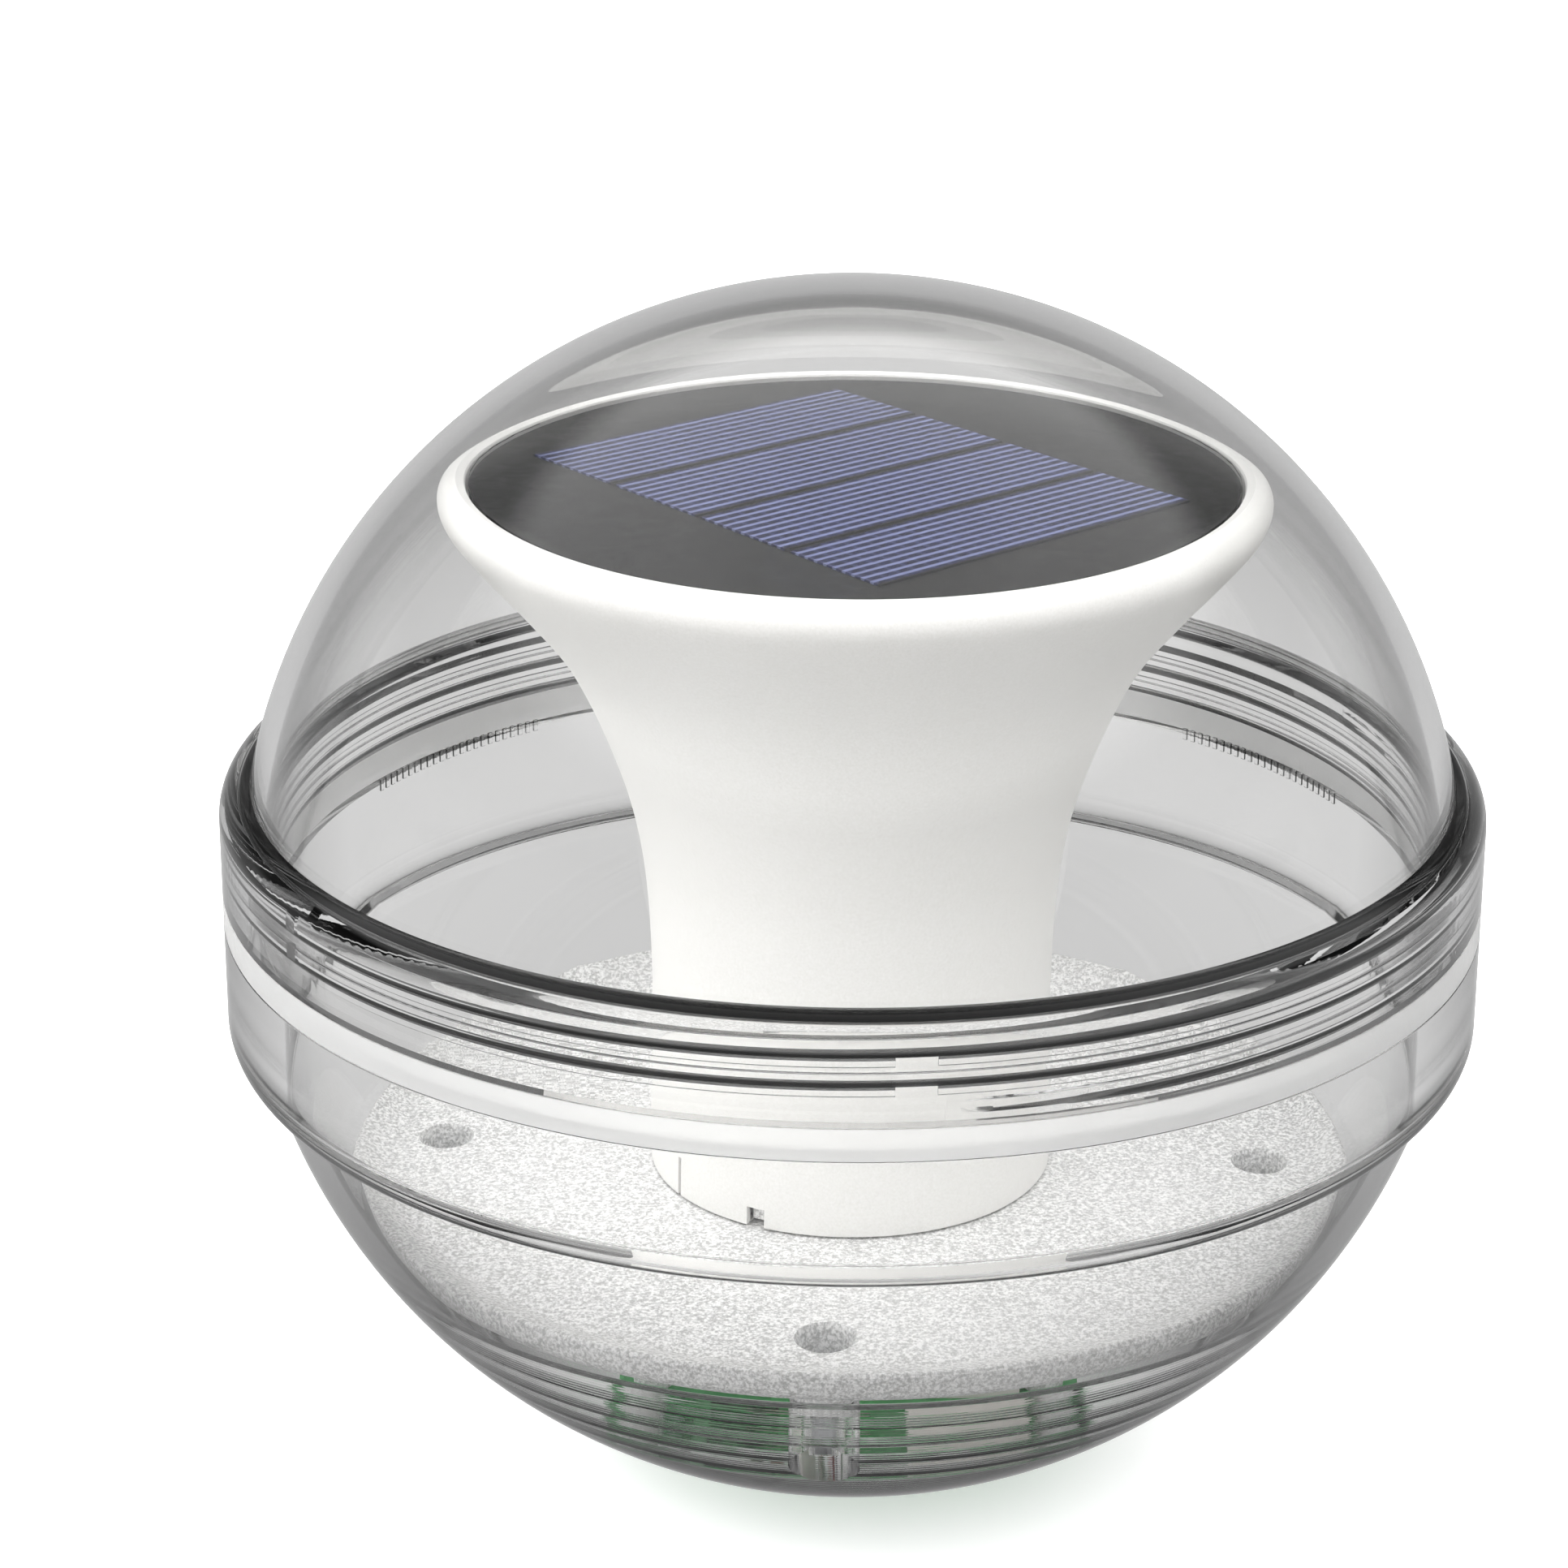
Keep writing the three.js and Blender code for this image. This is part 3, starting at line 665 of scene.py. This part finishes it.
# The dome: a shell with a shoulder, a skirt and a ledge that rests over the neck
ledge_inner_r = math.sqrt(BALL_INNER_R ** 2 - LEDGE_H ** 2)
dome_profile = [
    *arc(0, 0, BALL_R, 90, latitude(BALL_R, DOME_KINK_H), 44),
    *collar_rounding(DOME_KINK_H, SHOULDER_H),
    *rounded((COLLAR_R, SKIRT_BOTTOM_H), (COLLAR_R, 6), (SKIRT_INNER_R, SKIRT_BOTTOM_H), 0.15),
    (SKIRT_INNER_R, SKIRT_BOTTOM_H),
    *rounded((SKIRT_INNER_R, LEDGE_H), (SKIRT_INNER_R, 8), (69, LEDGE_H), 0.35),
    *rounded((ledge_inner_r, LEDGE_H), (72, LEDGE_H), (69.0, 16), 0.3),
    *arc(0, 0, BALL_INNER_R, latitude(BALL_INNER_R, LEDGE_H + 0.4), 90, 44),
]
dome_profile[0] = (0, BALL_R)
dome_profile[-1] = (0, BALL_INNER_R)
dome = lathe("dome_shell", dome_profile)
carve(
    dome,
    added=[thread_ridge(SKIRT_INNER_R, DOME_CREST_R, DOME_THREAD_H)],
    removed=[thread_break(71, 72.15, low=3.6, high=13.6, width=2, degrees=-148)],
)
smooth(dome)

# The bowl: foot, wall, flange, neck, bead, and the five rings inside its lower wall
neck_meets_bowl_h = -math.sqrt(BALL_INNER_R ** 2 - NECK_INNER_R ** 2)
bead_h = neck_meets_bowl_h + 2.2
inner_wall = [
    (NECK_INNER_R, bead_h + 0.55),
    (NECK_INNER_R - BEAD_DEPTH, bead_h + 0.05),
    (NECK_INNER_R - BEAD_DEPTH, bead_h - 0.1),
    (NECK_INNER_R, bead_h - 0.7),
]
wall_top, wall_bottom = (latitude(BALL_INNER_R, h) for h in (neck_meets_bowl_h, FOOT_FLOOR_H))
for r, h in arc(0, 0, BALL_INNER_R, wall_top, wall_bottom, 120):
    depth = 0.0
    for rib in RIB_HEIGHTS:
        depth = max(depth, RIB_DEPTH * max(0.0, 1 - ((h - rib) / RIB_HALF_WIDTH) ** 2))
    scale = (BALL_INNER_R - depth) / BALL_INNER_R
    inner_wall.append((r * scale, h * scale))
bowl_profile = [
    (0, FOOT_H),
    *arc(0, 0, BALL_R, latitude(BALL_R, FOOT_H), latitude(BALL_R, BOWL_KINK_H), 44),
    *collar_rounding(BOWL_KINK_H, FLANGE_BOTTOM_H),
    *rounded((COLLAR_R, FLANGE_TOP_H), (COLLAR_R, -6), (NECK_R, FLANGE_TOP_H), 0.15),
    (NECK_R, FLANGE_TOP_H),
    *rounded((NECK_R, NECK_TOP_H), (NECK_R, 0), (NECK_INNER_R, NECK_TOP_H), 0.5),
    *rounded((NECK_INNER_R, NECK_TOP_H), (NECK_R, NECK_TOP_H), (NECK_INNER_R, 0), 0.4),
    *inner_wall,
    (0, FOOT_FLOOR_H),
]
bowl = lathe("bowl_shell", bowl_profile)
posts = []
holes = []
for degrees in SCREW_ANGLES:
    post = around(drum(POST_R, POST_FOOT_H, POST_TOP_H), SCREW_CIRCLE_R, degrees)
    for vertex in post.data.vertices:
        if vertex.co.z < (EQUATOR + (POST_FOOT_H + POST_TOP_H) / 2) * MM:
            reach = vertex.co.xy.length / MM
            vertex.co.z = (EQUATOR - math.sqrt(POST_ROOT_R ** 2 - reach ** 2)) * MM
    posts.append(post)
    hole = drum(1.6, -46.5, -40, sides=SMALL_TOOL_SIDES)
    holes.append(around(hole, SCREW_CIRCLE_R, degrees))
carve(
    bowl,
    added=[thread_ridge(NECK_R, NECK_CREST_R, NECK_THREAD_H), *posts, knurl()],
    removed=[*holes, thread_break(71.35, 72.4, low=-0.2, high=13, width=4.5, degrees=-84.5)],
)
smooth(bowl)

# The seal between the flange and the skirt
seal_low = FLANGE_TOP_H + SEAL_GAP
seal_high = SKIRT_BOTTOM_H - SEAL_GAP
seal_profile = [
    (SEAL_INNER_R, seal_low),
    *rounded((COLLAR_R, seal_low), (SEAL_INNER_R, seal_low), (COLLAR_R, 2), 0.15),
    *rounded((COLLAR_R, seal_high), (COLLAR_R, 0), (SEAL_INNER_R, seal_high), 0.15),
    (SEAL_INNER_R, seal_high),
]
seal = smooth(lathe("seal_band", seal_profile))

# The plate: dished rim, lamp socket, screw funnels, board posts, lugs and button hole
plate_profile = [
    (PLATE_HOLE_R, PLATE_BOTTOM_H),
    (PLATE_R - 1.8, PLATE_BOTTOM_H),
    (PLATE_R - 0.9, PLATE_TOP_H - 1.6),
    (PLATE_R - 0.3, PLATE_TOP_H - 0.6),
    (PLATE_R, PLATE_TOP_H + 1.2),
    *rounded((PLATE_R - 0.2, PLATE_TOP_H + 1.6), (PLATE_R, PLATE_TOP_H + 0.8),
             (PLATE_R - 1.4, PLATE_TOP_H + 1.4), 0.35),
    (PLATE_R - 1.7, PLATE_TOP_H + 1.2),
    (PLATE_R - 2.6, PLATE_TOP_H + 0.7),
    (PLATE_R - 3.6, PLATE_TOP_H + 0.25),
    (PLATE_R - 4.7, PLATE_TOP_H),
    (SOCKET_R, PLATE_TOP_H),
    (SOCKET_R, SOCKET_TOP_H),
    (SOCKET_INNER_R, SOCKET_TOP_H),
    (SOCKET_INNER_R, SEAT_H),
    (PLATE_HOLE_R, SEAT_H),
]
inside_plate_h = PLATE_BOTTOM_H + 1
funnel_profile = [(0, -41), (3.6, -41), (4.1, -38.5), (5, inside_plate_h), (0, inside_plate_h)]
bore_profile = [(0, -39.4), (2.95, -39.4), (3.2, -34.6), (3.55, -33.9), (3.55, 0), (0, 0)]
plate_disc = lathe("plate_disc", plate_profile, FINE_SIDES)
plate_added = []
plate_cut = []
for degrees in SCREW_ANGLES:
    funnel = lathe("tool", funnel_profile, TOOL_SIDES)
    bore = lathe("tool", bore_profile, TOOL_SIDES)
    shank = drum(1.7, -45, -38, sides=SMALL_TOOL_SIDES)
    plate_added.append(around(funnel, SCREW_CIRCLE_R, degrees))
    plate_cut.append(around(bore, SCREW_CIRCLE_R, degrees))
    plate_cut.append(around(shank, SCREW_CIRCLE_R, degrees))
for side_x, side_y in ((1, 1), (-1, 1), (-1, -1), (1, -1)):
    x, y = side_x * BOARD_POST, side_y * BOARD_POST
    plate_added.append(drum(2.4, BOARD_TOP_H + 0.3, inside_plate_h, x, y, 32))
    plate_cut.append(drum(1.2, -60, -49, x, y, SMALL_TOOL_SIDES))
for x in (-SWITCH_POST_X, SWITCH_POST_X):
    plate_added.append(drum(1.6, -40.7, inside_plate_h, x, BUTTON_Y, SMALL_TOOL_SIDES))
for lug in (LUG_DEG, LUG_DEG + 180):
    plate_added.append(slab(21.9, 0, 2.6, 1.8, PLATE_TOP_H + 0.7, PLATE_TOP_H + 2.3, lug))
for x in (-LIGHT_SCREW_X, LIGHT_SCREW_X):
    plate_cut.append(drum(1.4, -36, -30, x, 0, SMALL_TOOL_SIDES))
plate_cut.append(drum(BUTTON_HOLE_R, -40, -30, 0, BUTTON_Y))
carve(plate_disc, plate_added, plate_cut)
smooth(plate_disc)

# The lamp body: a hollow trumpet with bayonet grooves, a lock notch and an entry slit at its foot
outer_line = [
    (STEM_R, STEM_FOOT_H), (24.1, -15), (24.6, 0), (26.3, 11), (29.8, 21.5), (34.2, 30.7),
    (39.8, 38), (44.6, 43.6), (47.2, 47), (47.8, 49.2), (47, 51), (45.6, 51.6),
]
inner_line = [
    (41.5, 43), (37.4, 38.6), (32, 31), (27.7, 21.5), (24.2, 11), (22.6, 0), (22.1, -15),
    (22.2, STEM_FOOT_H),
]
lamp_profile = [
    *spline(outer_line, 6),
    (44.75, 51.35),
    (44.6, 51.1),
    (44.6, PANEL_SEAT_H),
    (41.5, PANEL_SEAT_H),
    *spline(inner_line, 3),
]
trumpet = lathe("lamp_trumpet", lamp_profile, FINE_SIDES)
below_foot_h = STEM_FOOT_H - 1
cuts = []
for half in (0, 180):
    lug, entry = LUG_DEG + half, ENTRY_DEG + half
    entry_start, entry_end = entry - GROOVE_SPARE_DEG, entry + GROOVE_SPARE_DEG
    cuts.append(sector(GROOVE_INNER_R, GROOVE_R, entry_start, lug + GROOVE_SPARE_DEG,
                       STEM_FOOT_H + 0.1, STEM_FOOT_H + 2.4))
    cuts.append(sector(GROOVE_INNER_R, GROOVE_R, entry_start, entry_end,
                       below_foot_h, STEM_FOOT_H + 1))
    cuts.append(slab(STEM_R, 0, 4, 2.3, below_foot_h, STEM_FOOT_H + 2.3, lug))
    cuts.append(slab(STEM_R, 0, 4, 0.6, below_foot_h, STEM_FOOT_H + 4.8, entry))
carve(trumpet, removed=cuts)
smooth(trumpet)

# The solar panel's round board
board_profile = [
    (0, PANEL_SEAT_H + 0.1),
    (PANEL_R, PANEL_SEAT_H + 0.1),
    *rounded((PANEL_R, PANEL_TOP_H), (PANEL_R, PANEL_SEAT_H), (0, PANEL_TOP_H), 0.2),
    (0, PANEL_TOP_H),
]
board = smooth(lathe("panel_disc", board_profile, FINE_SIDES))

PIECES = [
    (dome, "upper_dome", "dome", "clear_plastic", clear),
    (bowl, "lower_bowl", "bowl", "clear_plastic", clear),
    (seal, "seal_ring", "seal", "seal_silicone", seal_material),
    (plate_disc, "base_plate", "bowl", "plate_plastic", plate_material),
    (trumpet, "lamp_body", "lamp", "frosted_plastic", lamp_material),
    (board, "solar_board", "lamp", "panel_black", panel_material),
]
for piece, node, body, slot, material in PIECES:
    piece.data.materials.clear()
    piece.data.materials.append(material)
    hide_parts(node)
    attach(piece, body)

# The CAD nodes that stay get their material by their slot
white_mask = moulded("light_board_mask", (0.86, 0.86, 0.84), 0.35, grain=900, Coat_Weight=0.4)
SLOT_MATERIALS = {
    "cell_blue": solar_cell(),
    "panel_clear": clear_resin("panel_resin", (0.97, 0.97, 0.97), 1.12),
    "board_green": solder_mask(),
    "board_white": white_mask,
    "emitter": emitter_chip(),
    "steel": plated_steel(),
    "black_plastic": moulded("black_moulding", (0.012, 0.012, 0.014), 0.45, spread=0.3),
    "white_plastic": moulded("white_moulding", (0.72, 0.7, 0.66), 0.5, spread=0.05),
    "battery_sleeve": battery_sleeve(),
    "wire_red": moulded("red_insulation", (0.42, 0.03, 0.02), 0.42, spread=0.1),
    "wire_black": moulded("black_insulation", (0.015, 0.015, 0.016), 0.42, spread=0.2),
    "button_grey": moulded("button_rubber", (0.24, 0.25, 0.26), 0.6, spread=0.08),
}
for subpart in frame["record"]["subparts"]:
    if subpart["material_slot"] in SLOT_MATERIALS:
        node = frame["nodes"][subpart["node"]]
        node.data.materials.clear()
        node.data.materials.append(SLOT_MATERIALS[subpart["material_slot"]])

# ------------------------------------------------------- floor, world, lights

FLOOR_REACH = 6

bm = bmesh.new()
bmesh.ops.create_grid(bm, x_segments=2, y_segments=2, size=FLOOR_REACH)
floor = object_from("floor", bm)
floor.data.materials.append(moulded(
    "floor_paper", (0.85, 0.85, 0.85), 0.9, grain=60, spread=0.005, depth=0.00001,
    Emission_Color=(1, 1, 1, 1), Emission_Strength=0.35,
))
floor.visible_transmission = False
floor.visible_glossy = False

# The surround, in greys from straight down (0) to straight up (1). What the glass shows has dark
# bands, as in a product photograph, and matt surfaces are lit by a plain soft gradient.
SEEN_STOPS = [
    (0.0, 0.14), (0.12, 0.18), (0.2, 0.4), (0.26, 0.6), (0.32, 0.7), (0.44, 0.66), (0.5, 0.6),
    (0.6, 0.45), (0.66, 0.14), (0.76, 0.1), (0.81, 0.9), (0.95, 0.9), (1.0, 0.6),
]
LIT_STOPS = [(0.0, 0.2), (0.45, 0.19), (0.55, 0.25), (0.8, 0.62), (1.0, 1.0)]
LIT_STRENGTH = 4.0
KEY_TOWARDS = (-0.9, -0.05, 0.43)
KEY_STRENGTH = 1.5
FLAG_STRENGTH = 0.25

world = bpy.data.worlds.new("studio")
bpy.context.scene.world = world
world.use_nodes = True
world.node_tree.nodes.clear()
sky = Nodes(world.node_tree)
direction = sky.node("ShaderNodeTexCoord").outputs["Generated"]
sideways, _, upwards = sky.parts(direction)
rise = sky.remap(upwards, -1.0, 1.0, 0.0, 1.0)
flags = sky.product(
    sky.remap(upwards, -0.2, -0.03, 0.0, 1.0),
    sky.remap(upwards, 0.5, 0.65, 1.0, 0.0),
    sky.remap(sky.math("ABSOLUTE", sideways), 0.26, 0.52, 0.0, FLAG_STRENGTH),
)
seen = sky.mix(flags, sky.ramp(rise, SEEN_STOPS), (0.0, 0.0, 0.0))
towards_key = sky.node("ShaderNodeVectorMath", "DOT_PRODUCT", i0=direction, i1=KEY_TOWARDS)
key_light = sky.remap(towards_key.outputs["Value"], 0.0, 1.0, 0.0, KEY_STRENGTH)
lit = sky.node("ShaderNodeVectorMath", "MULTIPLY_ADD", i0=sky.ramp(rise, LIT_STOPS),
               i1=(LIT_STRENGTH, LIT_STRENGTH, LIT_STRENGTH), i2=key_light)
path = sky.node("ShaderNodeLightPath")
for_matt = sky.math("GREATER_THAN", path.outputs["Diffuse Depth"], 0.5)
surround = sky.mix(for_matt, seen, lit.outputs[0])
background = sky.mix(path.outputs["Is Camera Ray"], surround, (1.0, 1.0, 1.0))
shown = sky.node("ShaderNodeBackground", Color=background)
sky.node("ShaderNodeOutputWorld", Surface=shown.outputs[0])

KEY_PLACE = Vector((-0.5, -0.6, 0.9))
KEY_SIZE = (0.6, 0.4)
KEY_POWER = 2.5

key_data = bpy.data.lights.new("key", "AREA")
key_data.shape = "RECTANGLE"
key_data.size, key_data.size_y = KEY_SIZE
key_data.energy = KEY_POWER
key = new_object("key", key_data)
key.location = KEY_PLACE
key.rotation_euler = (centre - KEY_PLACE).to_track_quat("-Z", "Y").to_euler()
key.visible_camera = False
key.visible_glossy = False
key.visible_transmission = False

scene = bpy.context.scene
scene.view_settings.view_transform = "Standard"
scene.view_settings.look = "None"
scene.cycles.use_denoising = True
scene.cycles.max_bounces = 20
scene.cycles.transmission_bounces = 20
scene.cycles.glossy_bounces = 8
scene.cycles.diffuse_bounces = 4
